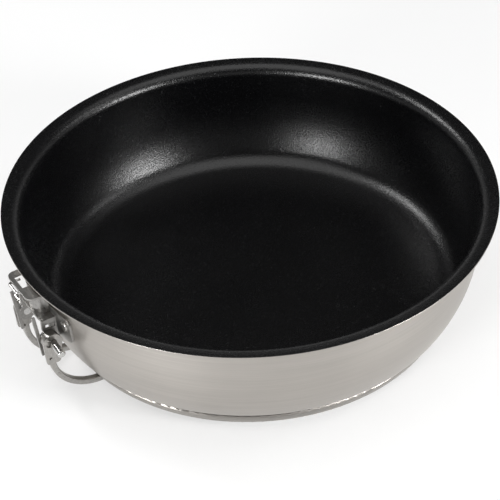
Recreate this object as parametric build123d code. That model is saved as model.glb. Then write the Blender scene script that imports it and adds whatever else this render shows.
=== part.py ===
from build123d import *
import math
import os

# Steel frying pan with a handle that folds flat under its base. Millimetres, +Z up.
# Origin: the pan's axis at the underside of its base. +X runs from there to the handle's hinge.

# Pan
RIM_HEIGHT = 64.4
WALL_RADIUS = 116.9
WALL_STRAIGHT_FROM = 45.0
WALL_CURVE_RADIUS = 67.0
CORNER_RADIUS = 14.0
LIP_WIDTH = 8.1
LIP_SLOPE_DEG = 10.8
LIP_NECK_RADIUS = 5.0
STEEL_SHEET = 0.8
LINING_SHEET = 0.3

# Layered base
BASE_HEIGHT = 5.0
BASE_FOOT_STEP = 5.5
BASE_SHOULDER_STEP = 8.5
BASE_SKIRT_HEIGHT = 6.4
BASE_CAP_SHEET = 0.6
BASE_FOOT_ROUND = 1.6
BASE_SHOULDER_ROUND = 1.0

# Hinge, placed from the wall and down from the rim
PIVOT_REACH = 5.5
PIVOT_DROP = 30.0
PIN_RADIUS = 2.0
PIN_END_Y = 27.0
PIN_EDGE_RADIUS = 0.8
PIN_RUNNING_GAP = 0.05
SIDE_GAP = 0.3

# Handle
HANDLE_LENGTH = 184.4
BAR_SPACING = 25.2
BAR_WIDTH = 3.4
BAR_THICKNESS = 3.0
BAR_EDGE_RADIUS = 0.5
BAR_OUTSET = 1.1
BAR_BEND_RADIUS = 24.0
BAR_EYE_RADIUS = 4.6
FOLD_GAP = 0.3

# Root plates, placed from the pivot
ROOT_PLATE_SHEET = 1.0
ROOT_PLATE_RADIUS = 5.0
ROOT_PLATE_DROP = 12.7
ROOT_PLATE_FOOT_IN = 2.8
ROOT_PLATE_FOOT_OUT = 4.3
ROOT_PLATE_CORNER = 1.8
ROOT_SLOT_RADIUS = 2.2
ROOT_SLOT_STRETCH = 1.3
ROOT_HOLE_RADIUS = 0.8
ROOT_HOLE_OUT = 2.2
ROOT_HOLE_DROP = 9.0

# Wall bracket, placed from the pivot
BRACKET_SHEET = 1.2
SHELF_RISE = 11.2
SHELF_WIDTH = 8.1
SHELF_CORNER = 4.5
CHEEK_LOBE_RADIUS = 4.6
CHEEK_CORNER = 1.4
FINGER_WIDTH = 1.7
FINGER_FOOT_OUT = 3.6
FINGER_FOOT_DROP = 9.6
FINGER_TIP_OUT = 6.1
FINGER_TIP_RISE = 15.0
LUG_HALF_WIDTH = 24.0
LUG_DROP = 0.4
LUG_RISE = 14.8
LUG_CORNER = 4.5
RIVET_Y = 19.9
RIVET_RISE = 10.2
RIVET_SHANK_RADIUS = 1.6
RIVET_HEAD_RADIUS = 2.6
RIVET_HEAD_HEIGHT = 1.1
RIVET_HEAD_ROUND = 0.8

# Latch
LATCH_TRAVEL = 1.8
LATCH_GAP = 0.3
HOUSING_SHEET = 0.6
HOUSING_HALF_WIDTH = 7.4
HOUSING_WIDTH = 7.1
HOUSING_CORNER = 6.4
FORK_SHEET = 1.0
FORK_HALF_WIDTH = 5.0
FORK_SHOULDER_DROP = 3.0
NECK_LOW_Y = 2.2
NECK_HIGH_Y = 4.8
TOOTH_THICKNESS = 2.5
TOOTH_HEIGHT = 2.0
TOOTH_RISE = 6.0
PLATE_SHEET = 1.0
PLATE_HEADROOM = 1.8
PLATE_WIDTH = 11.3
PLATE_CORNER = 3.6
WINDOW_WIDTH = 9.1
WINDOW_FAR_Y = -8.2
WINDOW_NEAR_Y = 2.0
POST_RADIUS = 1.75
POST_Y = -4.2
POST_OUT = 2.7
POST_HEIGHT = 1.2
WIRE_RADIUS = 0.65
WIRE_BEND_RADIUS = 1.6
WIRE_OVERHANG = 1.2
WIRE_GRIP = 4.8
WIRE_FAR_Y = -6.8
WIRE_NEAR_Y = 2.0
SPRING_WIRE_RADIUS = 0.2
SPRING_COIL_RADIUS = 1.9
SPRING_TURNS = 4
SPRING_SEAT_GAP = 0.05

# Places that follow from the sizes above
CUT_MARGIN = 1.0
LINING_DEPTH = STEEL_SHEET + LINING_SHEET
RIM_RADIUS = WALL_RADIUS + LIP_WIDTH
PIVOT_X = WALL_RADIUS + PIVOT_REACH
PIVOT_Z = RIM_HEIGHT - PIVOT_DROP
BAR_INNER_Y = BAR_SPACING / 2
BAR_OUTER_Y = BAR_INNER_Y + BAR_WIDTH
BAR_MID_Y = BAR_INNER_Y + BAR_WIDTH / 2
BAR_X = PIVOT_X + BAR_OUTSET
RUN_Z = -FOLD_GAP - BAR_THICKNESS / 2
CHEEK_OUTER_Y = BAR_INNER_Y - SIDE_GAP
CHEEK_INNER_Y = CHEEK_OUTER_Y - BRACKET_SHEET
PLATE_OUTER_Y = BAR_OUTER_Y + ROOT_PLATE_SHEET
LUG_RADIUS = WALL_RADIUS + BRACKET_SHEET
SHELF_X = WALL_RADIUS + SHELF_WIDTH
SHELF_TOP = PIVOT_Z + SHELF_RISE
FORK_X = LUG_RADIUS + LATCH_GAP + 0.1
FORK_OUTER_X = FORK_X + FORK_SHEET
TOOTH_OUTER_X = FORK_X + TOOTH_THICKNESS
TOOTH_LOW = PIVOT_Z + TOOTH_RISE
HOUSING_X = WALL_RADIUS + HOUSING_WIDTH
SIDES = {"near": 1, "far": -1}


def spot(centre, radius, degrees):
    """Point of a circle at an angle."""
    angle = math.radians(degrees)
    return (centre[0] + radius * math.cos(angle), centre[1] + radius * math.sin(angle))


def arc(centre, radius, start, stop):
    """Arc of a circle between two angles."""
    middle = (start + stop) / 2
    return ThreePointArc(*(spot(centre, radius, angle) for angle in (start, middle, stop)))


def wall_centre():
    """Centre of the long curve of the wall."""
    return (WALL_RADIUS - WALL_CURVE_RADIUS, WALL_STRAIGHT_FROM)


def corner_centre():
    """Centre of the corner arc, which touches both the floor and the wall curve."""
    x, z = wall_centre()
    corner_z = BASE_HEIGHT + CORNER_RADIUS
    reach = WALL_CURVE_RADIUS - CORNER_RADIUS
    return (x + math.sqrt(reach**2 - (z - corner_z) ** 2), corner_z)


def corner_turn():
    """Angle at which the corner arc runs into the wall curve."""
    x, z = wall_centre()
    corner_x, corner_z = corner_centre()
    return math.degrees(math.atan2(corner_z - z, corner_x - x))


def neck_centre():
    """Centre of the arc that turns the wall out into the lip."""
    x = WALL_RADIUS + LIP_NECK_RADIUS
    slope = math.radians(LIP_SLOPE_DEG)
    skin = LIP_NECK_RADIUS + LINING_DEPTH
    return (x, RIM_HEIGHT - (skin + (RIM_RADIUS - x) * math.sin(slope)) / math.cos(slope))


def skin_line(depth):
    """Half section of the pan from axis to rim, at a depth inside its outer steel surface."""
    corner = corner_centre()
    neck = neck_centre()
    turn = corner_turn()
    floor_z = BASE_HEIGHT + depth
    wall_x = WALL_RADIUS - depth
    lip_start = spot(neck, LIP_NECK_RADIUS + depth, 90 + LIP_SLOPE_DEG)
    lip_rise = (RIM_RADIUS - lip_start[0]) * math.tan(math.radians(LIP_SLOPE_DEG))
    return [
        Line((0, floor_z), (corner[0], floor_z)),
        arc(corner, CORNER_RADIUS - depth, -90, turn),
        arc(wall_centre(), WALL_CURVE_RADIUS - depth, turn, 0),
        Line((wall_x, WALL_STRAIGHT_FROM), (wall_x, neck[1])),
        arc(neck, LIP_NECK_RADIUS + depth, 180, 90 + LIP_SLOPE_DEG),
        Line(lip_start, (RIM_RADIUS, lip_start[1] + lip_rise)),
    ]


def turned(edges):
    """Solid turned about the pan's axis from a closed half section."""
    return revolve(Plane.XZ * make_face(edges), Axis.Z)


def skin(outer_depth, inner_depth):
    """One layer of the pan, between two depths."""
    outer = skin_line(outer_depth)
    inner = skin_line(inner_depth)
    rim = Line(outer[-1] @ 1, inner[-1] @ 1)
    axis = Line(inner[0] @ 0, outer[0] @ 0)
    return turned(outer + [rim] + inner + [axis])


def pan_block(outset):
    """Solid that fills the pan to the start of its lip, grown outwards."""
    wall = skin_line(-outset)[:5]
    edge = wall[-1] @ 1
    lid = Line(edge, (0, edge.Y))
    axis = Line((0, edge.Y), (0, BASE_HEIGHT - outset))
    return turned(wall + [lid, axis])


def corner_angle_at(height):
    """Angle of the point at a height on the pan's outer corner arc."""
    return math.degrees(math.asin((height - corner_centre()[1]) / CORNER_RADIUS))


def base_wall(inset):
    """Edges of the base from its axis round foot and shoulder to the pan's corner."""
    corner = corner_centre()
    height = BASE_SKIRT_HEIGHT - inset
    seam = spot(corner, CORNER_RADIUS, corner_angle_at(height))
    line = FilletPolyline(
        (0, inset),
        (corner[0] + BASE_FOOT_STEP - inset, inset),
        (corner[0] + BASE_SHOULDER_STEP - inset, height),
        seam,
        radius=[BASE_FOOT_ROUND - inset / 2, BASE_SHOULDER_ROUND - inset / 2],
    )
    return line.edges()


def base_cap():
    """Pressed steel cap, turned in at its shoulder and welded to the pan round its corner."""
    outer = base_wall(0)
    inner = base_wall(BASE_CAP_SHEET)
    low = corner_angle_at(BASE_SKIRT_HEIGHT - BASE_CAP_SHEET)
    high = corner_angle_at(BASE_SKIRT_HEIGHT)
    seam = arc(corner_centre(), CORNER_RADIUS, low, high)
    axis = Line((0, 0), (0, BASE_CAP_SHEET))
    return turned(outer + inner + [seam, axis])


def base_core():
    """Aluminium disc sealed between the cap and the pan's floor."""
    wall = base_wall(BASE_CAP_SHEET)
    corner = corner_centre()
    low = corner_angle_at(BASE_SKIRT_HEIGHT - BASE_CAP_SHEET)
    turn = arc(corner, CORNER_RADIUS, -90, low)
    floor = Line((0, BASE_HEIGHT), (corner[0], BASE_HEIGHT))
    axis = Line((0, BASE_CAP_SHEET), (0, BASE_HEIGHT))
    return turned(wall + [turn, floor, axis])


def standing(region, low_y, high_y):
    """Plate cut from a region of the XZ plane, between two places along Y."""
    plane = Plane(origin=(0, low_y, 0), x_dir=(1, 0, 0), z_dir=(0, -1, 0))
    return extrude(plane * region, amount=high_y - low_y, dir=(0, 1, 0))


def block(low, high):
    """Box from its lowest to its highest corner."""
    size = (b - a for a, b in zip(low, high))
    middle = ((a + b) / 2 for a, b in zip(low, high))
    return Pos(*middle) * Box(*size)


def pivot_disc(radius):
    """Circle round the hinge axis in the XZ plane."""
    return Pos(PIVOT_X, PIVOT_Z) * Circle(radius)


def from_pivot(*offsets):
    """Points of the XZ plane, given from the hinge axis."""
    return [(PIVOT_X + x, PIVOT_Z + z) for x, z in offsets]


def on_side(solid, side):
    """The piece as drawn on the near side, or its mirror image on the far side."""
    return solid if side > 0 else mirror(solid, about=Plane.XZ)


def rivet_bar(side, radius, start, stop):
    """Round bar on a rivet's axis, which points at the pan's axis."""
    angle = math.asin(RIVET_Y / LUG_RADIUS)
    out = Vector(math.cos(angle), side * math.sin(angle), 0)
    plane = Plane(origin=out * start + Vector(0, 0, PIVOT_Z + RIVET_RISE), z_dir=out)
    return extrude(plane * Circle(radius), amount=stop - start)


def rivet_holes():
    """Both rivet shanks, long enough to cut every sheet they pass."""
    inner = WALL_RADIUS - LINING_DEPTH - CUT_MARGIN
    return [rivet_bar(side, RIVET_SHANK_RADIUS, inner, LUG_RADIUS + CUT_MARGIN) for side in SIDES.values()]


def rivet(side):
    """Rivet with a rounded head outside the lug and one inside the pan."""
    inner = WALL_RADIUS - LINING_DEPTH
    head = rivet_bar(side, RIVET_HEAD_RADIUS, inner, LUG_RADIUS + RIVET_HEAD_HEIGHT)
    foot = rivet_bar(side, RIVET_HEAD_RADIUS, inner - RIVET_HEAD_HEIGHT, LUG_RADIUS)
    far_end = head.faces().sort_by(lambda face: face.center().length)[-1]
    near_end = foot.faces().sort_by(lambda face: face.center().length)[0]
    head = fillet(far_end.edges(), RIVET_HEAD_ROUND) - pan_block(BRACKET_SHEET)
    foot = fillet(near_end.edges(), RIVET_HEAD_ROUND) & pan_block(-LINING_DEPTH)
    overlap = RIVET_HEAD_HEIGHT / 2
    shank = rivet_bar(side, RIVET_SHANK_RADIUS, inner - overlap, LUG_RADIUS + overlap)
    return (head + shank + foot).solid()


def pan_layer(outer_depth, inner_depth):
    """Layer of the pan with its rivet holes."""
    return skin(outer_depth, inner_depth) - rivet_holes()


def handle_bar():
    """Bar bent into one long loop, with an eye for the pin at each end."""
    bend = BAR_BEND_RADIUS + BAR_THICKNESS / 2
    centre = (BAR_X - bend, RUN_Z + bend)
    ring_x = PIVOT_X - HANDLE_LENGTH + BAR_OUTER_Y
    path = []
    for y in (BAR_MID_Y, -BAR_MID_Y):
        knee = spot(centre, bend, -45)
        path += [
            Line((BAR_X, y, PIVOT_Z), (BAR_X, y, centre[1])),
            ThreePointArc((BAR_X, y, centre[1]), (knee[0], y, knee[1]), (centre[0], y, RUN_Z)),
            Line((centre[0], y, RUN_Z), (ring_x, y, RUN_Z)),
        ]
    ring = ThreePointArc(
        (ring_x, BAR_MID_Y, RUN_Z), (ring_x - BAR_MID_Y, 0, RUN_Z), (ring_x, -BAR_MID_Y, RUN_Z)
    )
    start = Plane(origin=(BAR_X, BAR_MID_Y, PIVOT_Z), x_dir=(1, 0, 0), z_dir=(0, 0, -1))
    section = start * RectangleRounded(BAR_THICKNESS, BAR_WIDTH, BAR_EDGE_RADIUS)
    loop = sweep(section, path=Wire(path + [ring]))
    for side in SIDES.values():
        loop += on_side(standing(pivot_disc(BAR_EYE_RADIUS), BAR_INNER_Y, BAR_OUTER_Y), side)
    hole = pivot_disc(PIN_RADIUS + PIN_RUNNING_GAP)
    loop -= standing(hole, -PLATE_OUTER_Y, PLATE_OUTER_Y)
    return loop - standing(root_hole(), -PLATE_OUTER_Y, PLATE_OUTER_Y)


def root_hole():
    """Small hole through root plate and bar."""
    return Pos(PIVOT_X + ROOT_HOLE_OUT, PIVOT_Z - ROOT_HOLE_DROP) * Circle(ROOT_HOLE_RADIUS)


def root_plate(side):
    """Plate welded to the outside of the bar, with a slot that lies around the pin."""
    foot = make_face(
        Polyline(
            *from_pivot(
                (-ROOT_PLATE_RADIUS, 0),
                (-ROOT_PLATE_FOOT_IN, -ROOT_PLATE_DROP),
                (ROOT_PLATE_FOOT_OUT, -ROOT_PLATE_DROP),
                (ROOT_PLATE_RADIUS, 0),
            ),
            close=True,
        )
    )
    foot = fillet(foot.vertices().group_by(Axis.Y)[0], ROOT_PLATE_CORNER)
    slot = Pos(PIVOT_X + ROOT_SLOT_STRETCH / 2, PIVOT_Z) * SlotCenterToCenter(
        ROOT_SLOT_STRETCH, 2 * ROOT_SLOT_RADIUS
    )
    region = foot + pivot_disc(ROOT_PLATE_RADIUS) - slot - root_hole()
    return on_side(standing(region, BAR_OUTER_Y, PLATE_OUTER_Y), side)


def hinge_pin(side):
    """Pin fixed in the bracket's cheek, with a rounded free end."""
    pin = standing(pivot_disc(PIN_RADIUS), CHEEK_INNER_Y, PIN_END_Y)
    tip = pin.faces().sort_by(Axis.Y)[-1]
    return on_side(fillet(tip.edges(), PIN_EDGE_RADIUS), side)


def tooth_slot():
    """Window in a cheek for the tooth bar and its travel."""
    length = TOOTH_THICKNESS + LATCH_TRAVEL + 2 * LATCH_GAP
    height = TOOTH_HEIGHT + 2 * LATCH_GAP
    x = FORK_X - LATCH_GAP + length / 2
    return Pos(x, TOOTH_LOW - LATCH_GAP + height / 2) * Rectangle(length, height)


def cheek(side):
    """Side of the bracket that hangs from the shelf, holds a pin and carries an upright finger."""
    root_x = WALL_RADIUS - BRACKET_SHEET
    hang_low = TOOTH_LOW - 1.5 * LATCH_GAP - BRACKET_SHEET
    hang = make_face(
        Polyline(
            (root_x, SHELF_TOP),
            (SHELF_X, SHELF_TOP),
            (SHELF_X, hang_low),
            (root_x, hang_low),
            close=True,
        )
    )
    hang = fillet(hang.vertices().group_by(Axis.X)[-1].sort_by(Axis.Y)[0], CHEEK_CORNER)
    web = make_face(
        Polyline(
            (root_x, hang_low),
            (root_x, PIVOT_Z - LUG_DROP),
            (PIVOT_X, PIVOT_Z - CHEEK_LOBE_RADIUS),
            (PIVOT_X, hang_low),
            close=True,
        )
    )
    finger = trace(
        Polyline(*from_pivot((FINGER_FOOT_OUT, -FINGER_FOOT_DROP), (FINGER_TIP_OUT, FINGER_TIP_RISE))),
        FINGER_WIDTH,
    )
    region = hang + web + finger + pivot_disc(CHEEK_LOBE_RADIUS) - pivot_disc(PIN_RADIUS) - tooth_slot()
    return on_side(standing(region, CHEEK_INNER_Y, CHEEK_OUTER_Y), side)


def wall_bracket():
    """Pressed bracket: a saddle riveted to the wall, a shelf and two cheeks."""
    lugs = Plane.YZ * (
        Pos(0, PIVOT_Z + (LUG_RISE - LUG_DROP) / 2)
        * RectangleRounded(2 * LUG_HALF_WIDTH, LUG_RISE + LUG_DROP, LUG_CORNER)
    )
    saddle = extrude(lugs, amount=LUG_RADIUS + CUT_MARGIN) & pan_block(BRACKET_SHEET)
    shelf = block(
        (WALL_RADIUS - BRACKET_SHEET, -CHEEK_OUTER_Y, SHELF_TOP - BRACKET_SHEET),
        (SHELF_X, CHEEK_OUTER_Y, SHELF_TOP),
    )
    shelf = fillet(shelf.edges().filter_by(Axis.Z).group_by(Axis.X)[-1], SHELF_CORNER)
    bracket = saddle + shelf
    for side in SIDES.values():
        bracket += cheek(side)
    bracket -= block(
        (FORK_X - LATCH_GAP, -FORK_HALF_WIDTH - LATCH_GAP, SHELF_TOP - BRACKET_SHEET - CUT_MARGIN),
        (FORK_OUTER_X + LATCH_TRAVEL + LATCH_GAP, FORK_HALF_WIDTH + LATCH_GAP, SHELF_TOP + CUT_MARGIN),
    )
    return (bracket - rivet_holes() - pan_block(0)).solid()


def plate_top():
    """Height of the pull plate's top, just under the lip."""
    neck = neck_centre()
    return neck[1] + LIP_NECK_RADIUS - PLATE_HEADROOM


def housing_top():
    """Height of the spring housing's top, with a running gap under the pull plate."""
    return plate_top() - PLATE_SHEET - LATCH_GAP


def housing_block(inset, low, high):
    """Rounded column that stands on the shelf against the wall."""
    half = HOUSING_HALF_WIDTH - inset
    column = block((WALL_RADIUS - CUT_MARGIN, -half, low), (HOUSING_X - inset, half, high))
    corners = column.edges().filter_by(Axis.Z).group_by(Axis.X)[-1]
    return fillet(corners, HOUSING_CORNER - inset)


def spring_housing():
    """Sheet housing over the latch spring, open below, with a slot for the fork's neck."""
    top = housing_top()
    housing = housing_block(0, SHELF_TOP, top)
    housing -= housing_block(HOUSING_SHEET, SHELF_TOP - CUT_MARGIN, top - HOUSING_SHEET)
    housing -= block(
        (FORK_X - LATCH_GAP, NECK_LOW_Y - LATCH_GAP, top - HOUSING_SHEET - CUT_MARGIN),
        (FORK_OUTER_X + LATCH_TRAVEL + LATCH_GAP, NECK_HIGH_Y + LATCH_GAP, top + CUT_MARGIN),
    )
    return (housing - pan_block(BRACKET_SHEET)).solid()


def guide_post():
    """Stub on the housing that stands in the pull plate's window."""
    top = housing_top()
    x = FORK_X + POST_OUT
    return Pos(x, POST_Y, top + POST_HEIGHT / 2) * Cylinder(POST_RADIUS, POST_HEIGHT)


def lock_fork():
    """Sheet fork: neck under the pull plate, web in front of the spring, tooth bar below."""
    shoulder = housing_top() - FORK_SHOULDER_DROP
    web = block((FORK_X, -FORK_HALF_WIDTH, TOOTH_LOW), (FORK_OUTER_X, FORK_HALF_WIDTH, shoulder))
    neck = block(
        (FORK_X, NECK_LOW_Y, shoulder - FORK_SHEET),
        (FORK_OUTER_X, NECK_HIGH_Y, plate_top() - PLATE_SHEET),
    )
    half = CHEEK_OUTER_Y - LATCH_GAP / 3
    tooth = block((FORK_X, -half, TOOTH_LOW), (TOOTH_OUTER_X, half, TOOTH_LOW + TOOTH_HEIGHT))
    return (web + neck + tooth).solid()


def pull_plate():
    """Flat plate pulled outwards by a finger, with a window over the guide post."""
    low = plate_top() - PLATE_SHEET
    half = CHEEK_OUTER_Y - LATCH_GAP / 3
    plate = block((FORK_X, -half, low), (FORK_X + PLATE_WIDTH, half, plate_top()))
    plate = fillet(plate.edges().filter_by(Axis.Z).group_by(Axis.X)[-1], PLATE_CORNER)
    return plate - block(
        (FORK_X - CUT_MARGIN, WINDOW_FAR_Y, low - CUT_MARGIN),
        (FORK_X + WINDOW_WIDTH, WINDOW_NEAR_Y, plate_top() + CUT_MARGIN),
    )


def finger_wire():
    """Wire loop welded under the pull plate, for the finger."""
    z = plate_top() - PLATE_SHEET - WIRE_RADIUS
    outer_x = FORK_X + PLATE_WIDTH + WIRE_OVERHANG
    root_x = outer_x - WIRE_OVERHANG - WIRE_GRIP
    path = FilletPolyline(
        (root_x, WIRE_FAR_Y, z),
        (outer_x, WIRE_FAR_Y, z),
        (outer_x, WIRE_NEAR_Y, z),
        (root_x, WIRE_NEAR_Y, z),
        radius=WIRE_BEND_RADIUS,
    )
    start = Plane(origin=path @ 0, z_dir=path % 0)
    return sweep(start * Circle(WIRE_RADIUS), path=path)


def latch_spring():
    """Coil spring between the fork's web and the front of the housing."""
    low_x = FORK_OUTER_X + SPRING_WIRE_RADIUS + SPRING_SEAT_GAP
    high_x = HOUSING_X - HOUSING_SHEET - SPRING_WIRE_RADIUS - SPRING_SEAT_GAP
    z = (SHELF_TOP + housing_top() - HOUSING_SHEET) / 2
    length = high_x - low_x
    coil = Helix(
        pitch=length / SPRING_TURNS,
        height=length,
        radius=SPRING_COIL_RADIUS,
        center=(low_x, 0, z),
        direction=(1, 0, 0),
    )
    start = Plane(origin=coil @ 0, z_dir=coil % 0)
    return sweep(start * Circle(SPRING_WIRE_RADIUS), path=coil, is_frenet=True)


pieces = {
    "pan_shell": pan_layer(0, STEEL_SHEET),
    "nonstick_lining": pan_layer(STEEL_SHEET, LINING_DEPTH),
    "base_core": base_core(),
    "base_cap": base_cap(),
    "wall_bracket": wall_bracket(),
    "bracket_rivets": Compound(children=[rivet(side) for side in SIDES.values()]),
    "spring_housing": spring_housing(),
    "guide_post": guide_post(),
    "latch_spring": latch_spring(),
    "lock_fork": lock_fork(),
    "pull_plate": pull_plate(),
    "finger_wire": finger_wire(),
    "handle_loop": handle_bar(),
}
for name, side in SIDES.items():
    pieces[f"hinge_pin_{name}"] = hinge_pin(side)
    pieces[f"root_plate_{name}"] = root_plate(side)

os.makedirs("parts", exist_ok=True)
for name, piece in pieces.items():
    export_step(piece, f"parts/{name}.step")
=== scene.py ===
import math

import bmesh
import bpy
from mathutils import Matrix, Vector


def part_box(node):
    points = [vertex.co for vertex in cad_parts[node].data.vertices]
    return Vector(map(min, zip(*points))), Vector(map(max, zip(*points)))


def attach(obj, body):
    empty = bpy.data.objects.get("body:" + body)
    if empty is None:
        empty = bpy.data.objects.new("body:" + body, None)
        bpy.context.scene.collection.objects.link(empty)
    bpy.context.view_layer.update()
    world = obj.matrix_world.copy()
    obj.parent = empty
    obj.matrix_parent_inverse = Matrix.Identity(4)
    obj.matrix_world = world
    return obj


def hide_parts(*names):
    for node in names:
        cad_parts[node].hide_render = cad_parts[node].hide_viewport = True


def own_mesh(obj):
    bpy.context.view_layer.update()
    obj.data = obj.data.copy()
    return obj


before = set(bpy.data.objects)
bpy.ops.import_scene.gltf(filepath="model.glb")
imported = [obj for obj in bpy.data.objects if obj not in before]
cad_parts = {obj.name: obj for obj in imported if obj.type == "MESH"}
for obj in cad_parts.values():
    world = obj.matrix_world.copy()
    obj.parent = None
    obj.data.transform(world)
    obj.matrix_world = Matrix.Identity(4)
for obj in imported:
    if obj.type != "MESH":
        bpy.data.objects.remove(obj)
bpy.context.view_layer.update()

bl_info = {
    "name": "Folding Handle Frying Pan",
    "version": (1, 0, 0),
    "blender": (4, 5, 0),
    "location": "3D View > Sidebar > Pan",
    "description": "Gives the frying pan its finishes, its studio floor, light and camera",
    "category": "Object",
}

MM = 0.001

# The photograph's camera: it looks down at the pan from the +Y side, with the hinge at its left.
# The drop and the roll are in radians, the eye in metres, and the lens and its sensor in millimetres.
PHOTO_TURN = math.radians(210.41)
PHOTO_DROP = 0.6772
PHOTO_ROLL = -0.0445
PHOTO_EYE = Vector((0.3119, 0.5295, 0.5186))
PHOTO_LENS = 108.92
SENSOR = 36.0
PHOTO_RIGHT = Vector((math.cos(PHOTO_TURN), -math.sin(PHOTO_TURN), 0))
PHOTO_AWAY = Vector((math.sin(PHOTO_TURN), math.cos(PHOTO_TURN), 0))
UP = Vector((0, 0, 1))

# Softboxes at the sides: a place to the right, away and up as the photograph sees the pan, then the width
# and height, and the share of the side power.
SIDE_SOFTBOXES = {
    "left_front_softbox": ((-0.75, -0.89, 0.29), 0.34, 0.3, 1.0),
    "left_back_softbox": ((-0.72, 0.46, 0.82), 0.3, 0.3, 0.4),
    "right_softbox": ((0.95, -0.56, 0.42), 0.3, 0.3, 1.0),
    "right_back_softbox": ((0.9, 0.04, 0.8), 0.3, 0.3, 0.15),
}
TOP_SOFTBOX_PLACE = (0, -0.1, 1.6)
TOP_SOFTBOX_WIDTH = 2.0
TOP_SOFTBOX_HEIGHT = 1.6

# The room's light fades to that of the ceiling between these rises, where 0 is level and 1 is straight up.
WALL_TOP = 0.12
CEILING_EDGE = 0.5

# Fineness and easing of the turned layers
CORNER_STEPS = 14
WALL_STEPS = 28
NECK_STEPS = 12
RIM_STEPS = 4
STEEL_RIM_EASING = 0.2 * MM
LINING_RIM_EASING = 0.12 * MM
SHARP_CORNER = math.radians(50)
ON_AXIS = 1e-6

# Finishes. A quarter turn of the brushing stretches a highlight up the wall, across the brush lines.
# Wear reaches a little wider than an edge's rounding, and grain is counted in waves for each metre.
BRUSH_TURN = 0.25
EDGE_SAMPLES = 6
WIRE_EDGE_ROUND = 0.15 * MM
WORN_WIDTH = 1.5
WORN_START = 0.01
WORN_FULL = 0.12
ALONG_GRAIN = 120
ACROSS_GRAIN = 3200


# Shader graph


class Value:
    """A number socket that can be used in arithmetic."""

    def __init__(self, graph, socket):
        self.graph = graph
        self.socket = socket

    def math(self, operation, *others):
        values = dict(enumerate((self, *others)))
        return self.graph.node("ShaderNodeMath", {"operation": operation}, values)

    def __add__(self, other):
        return self.math("ADD", other)

    def __radd__(self, other):
        return self.math("ADD", other)

    def __sub__(self, other):
        return self.math("SUBTRACT", other)

    def __rsub__(self, other):
        return self.graph.number(other).math("SUBTRACT", self)

    def __mul__(self, other):
        return self.math("MULTIPLY", other)

    def __rmul__(self, other):
        return self.math("MULTIPLY", other)

    def __pow__(self, other):
        return self.math("POWER", other)

    def ramp(self, low, high):
        """0 below low, 1 above high, smooth between."""
        values = {"Value": self, "From Min": low, "From Max": high}
        settings = {"interpolation_type": "SMOOTHSTEP"}
        return self.graph.node("ShaderNodeMapRange", settings, values)


class Graph:
    """Node tree of a material or of the world."""

    def __init__(self, owner):
        self.owner = owner
        owner.use_nodes = True
        self.tree = owner.node_tree
        self.tree.nodes.clear()

    @classmethod
    def material(cls, name):
        return cls(bpy.data.materials.new(name))

    def node(self, kind, settings=None, values=None, output=0):
        """A node with its settings, then its input values or links. Gives one of its outputs."""
        node = self.tree.nodes.new(kind)
        for key, value in (settings or {}).items():
            setattr(node, key, value)
        for key, value in (values or {}).items():
            if isinstance(value, Value):
                self.tree.links.new(value.socket, node.inputs[key])
            else:
                node.inputs[key].default_value = value
        return None if output is None else Value(self, node.outputs[output])

    def number(self, value):
        return self.node("ShaderNodeMath", {"operation": "ADD"}, {0: value, 1: 0.0})

    def place(self):
        """Position in the pan's own frame, in metres."""
        return self.node("ShaderNodeTexCoord", output="Object")

    def parts(self, vector):
        """The three numbers of a vector."""
        split = self.node("ShaderNodeSeparateXYZ", values={0: vector}).socket.node
        return [Value(self, split.outputs[axis]) for axis in "XYZ"]

    def vector(self, x, y, z):
        return self.node("ShaderNodeCombineXYZ", values={0: x, 1: y, 2: z})

    def noise(self, vector, scale, detail=2.0, roughness=0.5):
        values = {"Vector": vector, "Scale": scale, "Detail": detail, "Roughness": roughness}
        return self.node("ShaderNodeTexNoise", {}, values, output="Fac")

    def grain(self, places, waves, detail=3.0, roughness=0.5):
        """Noise drawn out into lines, with a count of waves to a metre for each of three places."""
        counted = [place * count for place, count in zip(places, waves)]
        return self.noise(self.vector(*counted), 1.0, detail, roughness)

    def spots(self, vector, scale):
        """Distance to the nearest of many scattered points."""
        return self.node("ShaderNodeTexVoronoi", {}, {"Vector": vector, "Scale": scale}, "Distance")

    def blend(self, amount, low, high):
        """Colour between two colours."""
        settings = {"data_type": "RGBA"}
        return self.node("ShaderNodeMix", settings, {"Factor": amount, 6: low, 7: high}, output=2)

    def tinted(self, tone, colour, dark, light, spread):
        """A colour made darker and lighter by a tone that runs a spread to each side of one half."""
        amount = tone.ramp(0.5 - spread, 0.5 + spread)
        return self.blend(amount, shade(colour, dark), shade(colour, light))

    def rounded(self, radius):
        """Surface normal with its edges rounded by a radius."""
        return self.node("ShaderNodeBevel", {"samples": EDGE_SAMPLES}, {"Radius": radius})

    def bump(self, height, distance, strength, rounding=0.0):
        """Surface relief, with edges rounded by a radius."""
        values = {"Height": height, "Distance": distance, "Strength": strength}
        if rounding:
            values["Normal"] = self.rounded(rounding)
        return self.node("ShaderNodeBump", {}, values)

    def edges(self, rounding):
        """1 along cut edges and 0 on the flat, found from the rounded normal."""
        flat = self.node("ShaderNodeNewGeometry", output="Normal")
        values = {0: self.rounded(rounding), 1: flat}
        along = self.node("ShaderNodeVectorMath", {"operation": "DOT_PRODUCT"}, values, "Value")
        return (1 - along).ramp(WORN_START, WORN_FULL)

    def finish(self, values):
        """Ends the graph with the surface shader."""
        shader = self.node("ShaderNodeBsdfPrincipled", {}, values)
        self.node("ShaderNodeOutputMaterial", {}, {"Surface": shader}, output=None)
        return self.owner

    def metal(self, colour, roughness, relief, stretch=0.0):
        """Ends the graph as bare metal, whose brushing stretches its highlights."""
        values = {"Base Color": colour, "Metallic": 1.0, "Roughness": roughness, "Normal": relief}
        if stretch:
            values |= {"Anisotropic": stretch, "Anisotropic Rotation": BRUSH_TURN}
        return self.finish(values)


def rgba(colour):
    return (*colour, 1.0)


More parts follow.
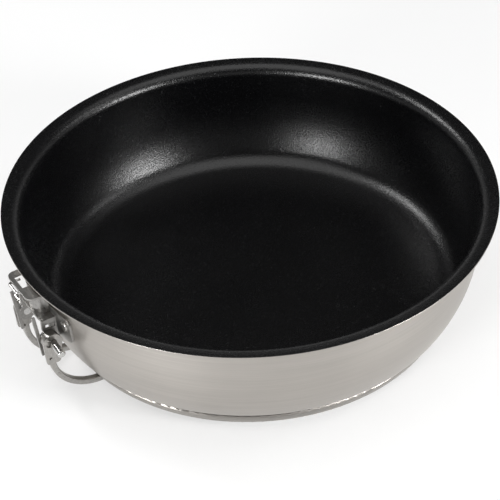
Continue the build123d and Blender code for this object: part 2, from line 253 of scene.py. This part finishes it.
def shade(colour, factor):
    """The same colour, lighter or darker."""
    return rgba([channel * factor for channel in colour])


def turned_steel(look):
    """Steel brushed round the pan's axis, with fine scratches and a faint stain."""
    graph = Graph.material("brushed_pan_steel")
    place = graph.place()
    x, y, z = graph.parts(place)
    radius = (x * x + y * y) ** 0.5
    climb = z + radius
    fine = graph.grain((x, y, climb), (18, 18, look.brush_lines), detail=4.0, roughness=0.6)
    wide = graph.grain((x, y, climb), (9, 9, look.brush_lines * 0.22))
    cloud = graph.noise(place, scale=26.0, detail=3.0, roughness=0.55)
    scratch = graph.grain((x, y, z), (60, 60, 2600), detail=1.0).ramp(0.68, 0.74)
    tone = fine * 0.5 + wide * 0.3 + cloud * 0.2
    colour = graph.tinted(tone, look.steel, dark=0.91, light=1.07, spread=0.18)
    smoothest = look.steel_roughness - 0.09
    roughness = fine * 0.1 + cloud * 0.08 + scratch * 0.06 + smoothest
    relief = graph.bump(fine + scratch * 0.3, distance=0.012 * MM, strength=0.5)
    return graph.metal(colour, roughness, relief, look.brush_stretch)


def base_steel(look):
    """Slightly duller steel of the base cap, turned on a lathe below."""
    graph = Graph.material("turned_base_steel")
    place = graph.place()
    x, y, z = graph.parts(place)
    radius = (x * x + y * y) ** 0.5
    ring = graph.grain((x, y, radius), (6, 6, 2600))
    around = graph.grain((x, y, z), (22, 22, 2400))
    heat = graph.noise(place, scale=16.0, detail=3.0)
    tone = ring * 0.4 + around * 0.35 + heat * 0.25
    colour = graph.tinted(tone, look.base, dark=0.84, light=1.12, spread=0.16)
    smoothest = 0.3
    roughness = heat * 0.12 + ring * 0.1 + smoothest
    relief = graph.bump(ring + around, distance=0.02 * MM, strength=0.5)
    return graph.metal(colour, roughness, relief, look.brush_stretch)


def lining(look):
    """Satin black coating with a fine pale speckle and a pebbled skin."""
    graph = Graph.material("speckled_nonstick")
    place = graph.place()
    grain = graph.noise(place, scale=1500.0, detail=1.0)
    speck = 1 - graph.spots(place, scale=1500.0).ramp(0.12, 0.3)
    rare = graph.noise(place, scale=700.0, detail=1.0).ramp(0.5, 0.66)
    wave = graph.noise(place, scale=22.0, detail=3.0)
    pale = speck * rare
    smoothest = look.coating_roughness - 0.09
    return graph.finish(
        {
            "Base Color": graph.blend(pale, rgba(look.coating), rgba(look.speckle)),
            "Metallic": 0.0,
            "Roughness": grain * 0.12 + wave * 0.06 + smoothest,
            "Specular IOR Level": look.coating_gloss,
            "Normal": graph.bump(grain + pale * 0.6, distance=0.14 * MM, strength=0.8),
        }
    )


def pressed_steel(look, name, tint, roughness, grain_axis):
    """Pressed or cut sheet: straight grain, soft dents, edges polished by handling."""
    graph = Graph.material(name)
    place = graph.place()
    waves = [ALONG_GRAIN if axis == grain_axis else ACROSS_GRAIN for axis in "XYZ"]
    grain = graph.grain(graph.parts(place), waves)
    dent = graph.noise(place, scale=240.0)
    grime = graph.noise(place, scale=700.0, detail=4.0, roughness=0.6)
    tone = grain * 0.45 + grime * 0.35 + dent * 0.2
    colour = graph.tinted(tone, tint, dark=0.8, light=1.12, spread=0.16)
    worn = graph.edges(look.edge_round * WORN_WIDTH * MM)
    colour = graph.blend(worn * 0.5, colour, shade(tint, 1.3))
    smoothest = roughness - 0.12
    roughness = grain * 0.12 + grime * 0.12 + smoothest
    relief = graph.bump(grain * 0.4 + dent, 0.05 * MM, strength=0.5, rounding=look.edge_round * MM)
    return graph.metal(colour, roughness, relief)


def bright_steel(look):
    """Bright drawn wire and pins, with lines along the draw and small nicks."""
    graph = Graph.material("bright_drawn_steel")
    place = graph.place()
    draw = graph.grain(graph.parts(place), (2400, 60, 2400), detail=2.0)
    nick = graph.noise(place, scale=1500.0).ramp(0.62, 0.72)
    colour = graph.tinted(draw, look.pin, dark=0.88, light=1.08, spread=0.15)
    smoothest = 0.1
    roughness = draw * 0.08 + nick * 0.12 + smoothest
    relief = graph.bump(draw * 0.5 - nick * 0.5, 0.03 * MM, strength=0.4, rounding=WIRE_EDGE_ROUND)
    return graph.metal(colour, roughness, relief)


def bare_aluminium(look):
    """Rolled aluminium of the disc inside the base."""
    graph = Graph.material("rolled_aluminium")
    roll = graph.grain(graph.parts(graph.place()), (40, 2400, 2400))
    colour = graph.tinted(roll, look.core, dark=0.9, light=1.05, spread=0.15)
    smoothest = 0.3
    return graph.metal(colour, roll * 0.15 + smoothest, graph.bump(roll, 0.03 * MM, strength=0.4))


def floor_paper(stage):
    """Seamless white studio paper, part of which glows white as the backdrop."""
    graph = Graph.material("studio_paper")
    fibre = graph.noise(graph.place(), scale=900.0, detail=3.0)
    colour = graph.blend(fibre, shade(stage.floor, 0.995), rgba(stage.floor))
    matt = {"Base Color": colour, "Roughness": 0.9, "Specular IOR Level": 0.1}
    paper = graph.node("ShaderNodeBsdfPrincipled", {}, matt)
    white = graph.node("ShaderNodeEmission", {}, {"Strength": 1.0})
    ray = graph.node("ShaderNodeLightPath", output="Is Camera Ray")
    for kind in ("Is Glossy Ray", "Is Transmission Ray"):
        ray = ray + graph.node("ShaderNodeLightPath", output=kind)
    seen = graph.node("ShaderNodeMixShader", {}, {0: ray * stage.glow, 1: paper, 2: white})
    graph.node("ShaderNodeOutputMaterial", {}, {"Surface": seen}, output=None)
    return graph.owner


# Shapes


def arc_points(centre, radius, start, stop, steps):
    """Points along an arc, in the plane of radius and height."""
    angles = (start + (stop - start) * step / steps for step in range(steps + 1))
    return [(centre[0] + radius * math.cos(a), centre[1] + radius * math.sin(a)) for a in angles]


def lathe(name, outline, rounds, material):
    """Closed bowl turned about the pan's axis from (radius, height) points that start and end on it."""
    mesh = bpy.data.meshes.new(name)
    shape = bmesh.new()
    rings = []
    turns = [2 * math.pi * step / rounds for step in range(rounds)]
    for radius, height in outline:
        if radius < ON_AXIS:
            rings.append([shape.verts.new((0, 0, height))])
        else:
            spots = ((radius * math.cos(a), radius * math.sin(a), height) for a in turns)
            rings.append([shape.verts.new(spot) for spot in spots])
    for low, high in zip(rings, rings[1:]):
        for step in range(rounds):
            after = (step + 1) % rounds
            below = [low[step % len(low)], low[after % len(low)]]
            above = [high[after % len(high)], high[step % len(high)]]
            corners = list(dict.fromkeys(below + above))
            shape.faces.new(corners)
    bmesh.ops.recalc_face_normals(shape, faces=shape.faces)
    shape.to_mesh(mesh)
    shape.free()
    mesh.shade_smooth()
    mesh.materials.append(material)
    piece = bpy.data.objects.new(name, mesh)
    bpy.context.scene.collection.objects.link(piece)
    sharp = piece.modifiers.new("sharp_edges", "EDGE_SPLIT")
    sharp.split_angle = SHARP_CORNER
    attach(piece, "pan")
    return piece


# The pan's half section, as in the solids: a floor, a corner arc, a long wall curve and a sloped lip.


def pan_line(sizes, depth):
    """Points from the axis to the rim at a depth inside the pan's outer steel surface."""
    wall = (sizes.wall_radius - sizes.wall_curve, sizes.wall_straight)
    corner_z = sizes.floor_height + sizes.corner_radius
    reach = sizes.wall_curve - sizes.corner_radius
    corner = (wall[0] + math.sqrt(reach**2 - (wall[1] - corner_z) ** 2), corner_z)
    turn = math.atan2(corner[1] - wall[1], corner[0] - wall[0])
    slope = sizes.lip_slope
    rim_radius = sizes.wall_radius + sizes.lip_width
    neck_x = sizes.wall_radius + sizes.neck_radius
    inner_neck = sizes.neck_radius + sizes.steel_sheet + sizes.lining_sheet
    rise = inner_neck + (rim_radius - neck_x) * math.sin(slope)
    neck = (neck_x, sizes.rim_height - rise / math.cos(slope))
    points = [(0, sizes.floor_height + depth)]
    points += arc_points(corner, sizes.corner_radius - depth, -math.pi / 2, turn, CORNER_STEPS)
    points += arc_points(wall, sizes.wall_curve - depth, turn, 0, WALL_STEPS)[1:]
    points += arc_points(neck, sizes.neck_radius + depth, math.pi, math.pi / 2 + slope, NECK_STEPS)
    start = points[-1]
    points.append((rim_radius, start[1] + (rim_radius - start[0]) * math.tan(slope)))
    return points


def eased(corner, before, after, radius):
    """A rounded corner of an outline: points between its two neighbours."""
    corner, before, after = Vector(corner), Vector(before), Vector(after)
    low = corner + (before - corner).normalized() * radius
    high = corner + (after - corner).normalized() * radius
    bends = (step / RIM_STEPS for step in range(RIM_STEPS + 1))
    return [tuple(low.lerp(corner, t).lerp(corner.lerp(high, t), t)) for t in bends]


def layer(sizes, outer_depth, inner_depth, easing):
    """Closed outline of one layer of the pan, its rim edges eased."""
    outer = pan_line(sizes, outer_depth)
    inner = pan_line(sizes, inner_depth)
    rim = eased(outer[-1], outer[-2], inner[-1], easing) + eased(inner[-1], outer[-1], inner[-2], easing)
    return outer[:-1] + rim + inner[-2::-1]


class PanSizes(bpy.types.PropertyGroup):
    """Sizes of the turned pan, the same as in its solids."""

    rim_height: bpy.props.FloatProperty(
        name="Rim height", description="Top of the lip above the base",
        default=0.0644, unit="LENGTH",
    )
    wall_radius: bpy.props.FloatProperty(
        name="Wall radius", description="Outside of the upright wall", default=0.1169, unit="LENGTH"
    )
    wall_straight: bpy.props.FloatProperty(
        name="Wall straight from", description="Height where the wall is upright",
        default=0.045, unit="LENGTH",
    )
    wall_curve: bpy.props.FloatProperty(
        name="Wall curve", description="Radius of the long wall curve", default=0.067, unit="LENGTH"
    )
    corner_radius: bpy.props.FloatProperty(
        name="Corner radius", description="Outside radius between floor and wall",
        default=0.014, unit="LENGTH",
    )
    floor_height: bpy.props.FloatProperty(
        name="Floor height", description="Underside of the pan's steel floor",
        default=0.005, unit="LENGTH",
    )
    lip_width: bpy.props.FloatProperty(
        name="Lip width", description="Overhang of the lip past the wall",
        default=0.0081, unit="LENGTH",
    )
    lip_slope: bpy.props.FloatProperty(
        name="Lip slope", description="Rise of the lip", default=math.radians(10.8), subtype="ANGLE"
    )
    neck_radius: bpy.props.FloatProperty(
        name="Neck radius", description="Outside radius under the lip", default=0.005, unit="LENGTH"
    )
    steel_sheet: bpy.props.FloatProperty(
        name="Steel sheet", description="Thickness of the pan's steel",
        default=0.0008, unit="LENGTH",
    )
    lining_sheet: bpy.props.FloatProperty(
        name="Lining", description="Thickness of the coating", default=0.0003, unit="LENGTH"
    )
    latch_travel: bpy.props.FloatProperty(
        name="Latch travel", description="How far the pull plate presses its spring",
        default=0.0018, unit="LENGTH",
    )
    rounds: bpy.props.IntProperty(
        name="Rounds", description="Steps round the pan", default=288, min=48
    )


class PanLook(bpy.types.PropertyGroup):
    """Colours and finishes of the pan."""

    steel: bpy.props.FloatVectorProperty(
        name="Wall steel", description="Brushed steel of the wall",
        default=(0.43, 0.406, 0.378), subtype="COLOR",
    )
    base: bpy.props.FloatVectorProperty(
        name="Base steel", description="Steel of the base cap",
        default=(0.34, 0.322, 0.3), subtype="COLOR",
    )
    pressed: bpy.props.FloatVectorProperty(
        name="Pressed steel", description="Bracket and latch",
        default=(0.33, 0.322, 0.31), subtype="COLOR",
    )
    handle: bpy.props.FloatVectorProperty(
        name="Handle steel", description="Handle bar and root plates",
        default=(0.4, 0.388, 0.37), subtype="COLOR",
    )
    pin: bpy.props.FloatVectorProperty(
        name="Bright steel", description="Pins, wire and spring",
        default=(0.55, 0.545, 0.53), subtype="COLOR",
    )
    core: bpy.props.FloatVectorProperty(
        name="Aluminium", description="Disc inside the base",
        default=(0.78, 0.78, 0.79), subtype="COLOR",
    )
    coating: bpy.props.FloatVectorProperty(
        name="Coating", description="Black non-stick coating",
        default=(0.0007, 0.0007, 0.001), subtype="COLOR",
    )
    speckle: bpy.props.FloatVectorProperty(
        name="Speckle", description="Pale specks in the coating",
        default=(0.016, 0.0165, 0.02), subtype="COLOR",
    )
    steel_roughness: bpy.props.FloatProperty(
        name="Steel roughness", description="Roughness of the brushed wall",
        default=0.34, min=0, max=1,
    )
    brush_lines: bpy.props.FloatProperty(
        name="Brush lines", description="Brush lines for each metre of height",
        default=2600.0, min=1,
    )
    brush_stretch: bpy.props.FloatProperty(
        name="Brush stretch", description="How far the brushing stretches highlights",
        default=0.6, min=0, max=1,
    )
    coating_roughness: bpy.props.FloatProperty(
        name="Coating roughness", description="Roughness of the coating", default=0.27, min=0, max=1
    )
    coating_gloss: bpy.props.FloatProperty(
        name="Coating gloss", description="Specular level of the coating", default=0.5, min=0, max=1
    )
    edge_round: bpy.props.FloatProperty(
        name="Edge rounding", description="Rounding of cut sheet edges, in millimetres",
        default=0.22, min=0,
    )


class PanStage(bpy.types.PropertyGroup):
    """Studio floor, lights and camera."""

    floor: bpy.props.FloatVectorProperty(
        name="Paper", description="Colour of the studio paper",
        default=(0.93, 0.93, 0.93), subtype="COLOR",
    )
    glow: bpy.props.FloatProperty(
        name="Backdrop white", description="How far the paper fades to plain white",
        default=0.5, min=0, max=1,
    )
    floor_half: bpy.props.FloatProperty(
        name="Paper half width", description="Half the width of the paper",
        default=4.0, unit="LENGTH",
    )
    side_power: bpy.props.FloatProperty(
        name="Side softboxes", description="Power of the left softbox in watts", default=10.0, min=0
    )
    top_power: bpy.props.FloatProperty(
        name="Top softbox", description="Power of the softbox overhead in watts",
        default=15.0, min=0,
    )
    horizon: bpy.props.FloatProperty(
        name="Walls of the room", description="Strength of the room's light near the horizon",
        default=0.5, min=0,
    )
    ceiling: bpy.props.FloatProperty(
        name="Ceiling", description="Strength of the room's light from above", default=0.05, min=0
    )


def dress(material, *nodes):
    """Gives solids of the frame a finish."""
    for name in nodes:
        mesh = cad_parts[name].data
        mesh.materials.clear()
        mesh.materials.append(material)


class PAN_OT_body(bpy.types.Operator):
    """Turn the steel pan and its non-stick lining"""

    bl_idname = "pan.body"
    bl_label = "Pan and lining"

    def execute(self, context):
        sizes = context.scene.pan_sizes
        look = context.scene.pan_look
        depth = sizes.steel_sheet
        steel = layer(sizes, 0, depth, STEEL_RIM_EASING)
        coat = layer(sizes, depth, depth + sizes.lining_sheet, LINING_RIM_EASING)
        shell = lathe("brushed_pan", steel, sizes.rounds, turned_steel(look))
        inside = lathe("speckled_lining", coat, sizes.rounds, lining(look))
        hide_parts("pan_shell")
        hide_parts("nonstick_lining")
        return {"FINISHED"}


class PAN_OT_base(bpy.types.Operator):
    """Finish the base cap and the disc inside it"""

    bl_idname = "pan.base"
    bl_label = "Layered base"

    def execute(self, context):
        look = context.scene.pan_look
        dress(base_steel(look), "base_cap")
        dress(bare_aluminium(look), "base_core")
        return {"FINISHED"}


class PAN_OT_bracket(bpy.types.Operator):
    """Finish the wall bracket and its rivets"""

    bl_idname = "pan.bracket"
    bl_label = "Bracket and rivets"

    def execute(self, context):
        look = context.scene.pan_look
        saddle = pressed_steel(look, "pressed_bracket", look.pressed, roughness=0.36, grain_axis="Y")
        heads = pressed_steel(look, "rivet_heads", look.handle, roughness=0.28, grain_axis="X")
        dress(saddle, "wall_bracket")
        dress(heads, "bracket_rivets")
        return {"FINISHED"}


class PAN_OT_latch(bpy.types.Operator):
    """Finish the spring housing, the pull plate and the latch inside"""

    bl_idname = "pan.latch"
    bl_label = "Latch"

    def execute(self, context):
        look = context.scene.pan_look
        housing = pressed_steel(look, "drawn_housing", look.pressed, roughness=0.3, grain_axis="Z")
        sheet = pressed_steel(look, "latch_sheet", look.pressed, roughness=0.38, grain_axis="Y")
        dress(housing, "spring_housing")
        dress(sheet, "pull_plate", "lock_fork", "guide_post")
        bright = bright_steel(look)
        dress(bright, "finger_wire")
        spring = bpy.data.objects.new("pressed_spring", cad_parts["latch_spring"].data.copy())
        spring.data.materials.clear()
        spring.data.materials.append(bright)
        context.scene.collection.objects.link(spring)
        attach(spring, "pan")
        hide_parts("latch_spring")
        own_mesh(spring)
        return {"FINISHED"}


class PAN_OT_handle(bpy.types.Operator):
    """Finish the handle bar, its root plates and the hinge pins"""

    bl_idname = "pan.handle"
    bl_label = "Folding handle"

    def execute(self, context):
        look = context.scene.pan_look
        bar = pressed_steel(look, "satin_bar", look.handle, roughness=0.3, grain_axis="X")
        plates = pressed_steel(look, "root_plate_sheet", look.handle, roughness=0.32, grain_axis="Z")
        dress(bar, "handle_loop")
        dress(plates, "root_plate_near", "root_plate_far")
        dress(bright_steel(look), "hinge_pin_near", "hinge_pin_far")
        return {"FINISHED"}


def photo_place(right, away, up):
    """A place given from the pan as the photograph sees it."""
    return PHOTO_RIGHT * right + PHOTO_AWAY * away + UP * up


def softbox(name, place, width, height, power):
    """White rectangular soft light that faces the pan."""
    lamp = bpy.data.lights.new(name, "AREA")
    lamp.shape = "RECTANGLE"
    lamp.size = width
    lamp.size_y = height
    lamp.energy = power
    box = bpy.data.objects.new(name, lamp)
    box.location = photo_place(*place)
    box.rotation_euler = (-box.location).to_track_quat("-Z", "Y").to_euler()
    bpy.context.scene.collection.objects.link(box)


def room_light(horizon, ceiling):
    """Pale walls all round and a dark ceiling."""
    world = bpy.data.worlds.new("studio_room")
    graph = Graph(world)
    _, _, height = graph.parts(graph.node("ShaderNodeTexCoord", output="Generated"))
    rise = height.ramp(WALL_TOP, CEILING_EDGE)
    tone = graph.blend(rise, rgba([horizon] * 3), rgba([ceiling] * 3))
    light = graph.node("ShaderNodeBackground", {}, {"Color": tone, "Strength": 1.0})
    graph.node("ShaderNodeOutputWorld", {}, {"Surface": light}, output=None)
    bpy.context.scene.world = world


def photo_camera():
    """Camera where the photograph was taken from."""
    away = PHOTO_AWAY * math.cos(PHOTO_DROP) - UP * math.sin(PHOTO_DROP)
    across = PHOTO_RIGHT
    above = across.cross(away)
    right = across * math.cos(PHOTO_ROLL) + above * math.sin(PHOTO_ROLL)
    top = above * math.cos(PHOTO_ROLL) - across * math.sin(PHOTO_ROLL)
    lens = bpy.data.cameras.new("photo_camera")
    lens.lens = PHOTO_LENS
    lens.sensor_width = SENSOR
    camera = bpy.data.objects.new("photo_camera", lens)
    turn = Matrix((right, top, -away)).transposed()
    camera.matrix_world = Matrix.Translation(PHOTO_EYE) @ turn.to_4x4()
    bpy.context.scene.collection.objects.link(camera)
    bpy.context.scene.camera = camera


class PAN_OT_stage(bpy.types.Operator):
    """Lay the studio paper and set the lights and the camera"""

    bl_idname = "pan.stage"
    bl_label = "Studio"

    def execute(self, context):
        stage = context.scene.pan_stage
        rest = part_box("handle_loop")[0].z
        half = stage.floor_half
        mesh = bpy.data.meshes.new("studio_floor")
        corners = [(-half, -half, rest), (half, -half, rest), (half, half, rest), (-half, half, rest)]
        mesh.from_pydata(corners, [], [(0, 1, 2, 3)])
        mesh.materials.append(floor_paper(stage))
        paper = bpy.data.objects.new("studio_floor", mesh)
        context.scene.collection.objects.link(paper)
        for name, (place, width, height, share) in SIDE_SOFTBOXES.items():
            softbox(name, place, width, height, stage.side_power * share)
        softbox("top_softbox", TOP_SOFTBOX_PLACE, TOP_SOFTBOX_WIDTH, TOP_SOFTBOX_HEIGHT, stage.top_power)
        room_light(stage.horizon, stage.ceiling)
        photo_camera()
        context.scene.view_settings.view_transform = "Standard"
        return {"FINISHED"}


class PAN_PT_panel(bpy.types.Panel):
    """Buttons for each piece of the pan"""

    bl_idname = "PAN_PT_panel"
    bl_label = "Frying pan"
    bl_space_type = "VIEW_3D"
    bl_region_type = "UI"
    bl_category = "Pan"

    def draw(self, context):
        for operator in OPERATORS:
            self.layout.operator(operator.bl_idname)
        for group in (context.scene.pan_sizes, context.scene.pan_look, context.scene.pan_stage):
            box = self.layout.box()
            for name in group.__annotations__:
                box.prop(group, name)


GROUPS = {"pan_sizes": PanSizes, "pan_look": PanLook, "pan_stage": PanStage}
OPERATORS = (PAN_OT_body, PAN_OT_base, PAN_OT_bracket, PAN_OT_latch, PAN_OT_handle, PAN_OT_stage)


def register():
    for kind in (*GROUPS.values(), *OPERATORS, PAN_PT_panel):
        bpy.utils.register_class(kind)
    for name, group in GROUPS.items():
        setattr(bpy.types.Scene, name, bpy.props.PointerProperty(type=group))


def unregister():
    for name in GROUPS:
        delattr(bpy.types.Scene, name)
    for kind in (PAN_PT_panel, *reversed(OPERATORS), *reversed(list(GROUPS.values()))):
        bpy.utils.unregister_class(kind)


def main():
    register()
    for operator in OPERATORS:
        group, name = operator.bl_idname.split(".")
        getattr(getattr(bpy.ops, group), name)()
    bpy.context.view_layer.update()


if __name__ == "__main__":
    main()
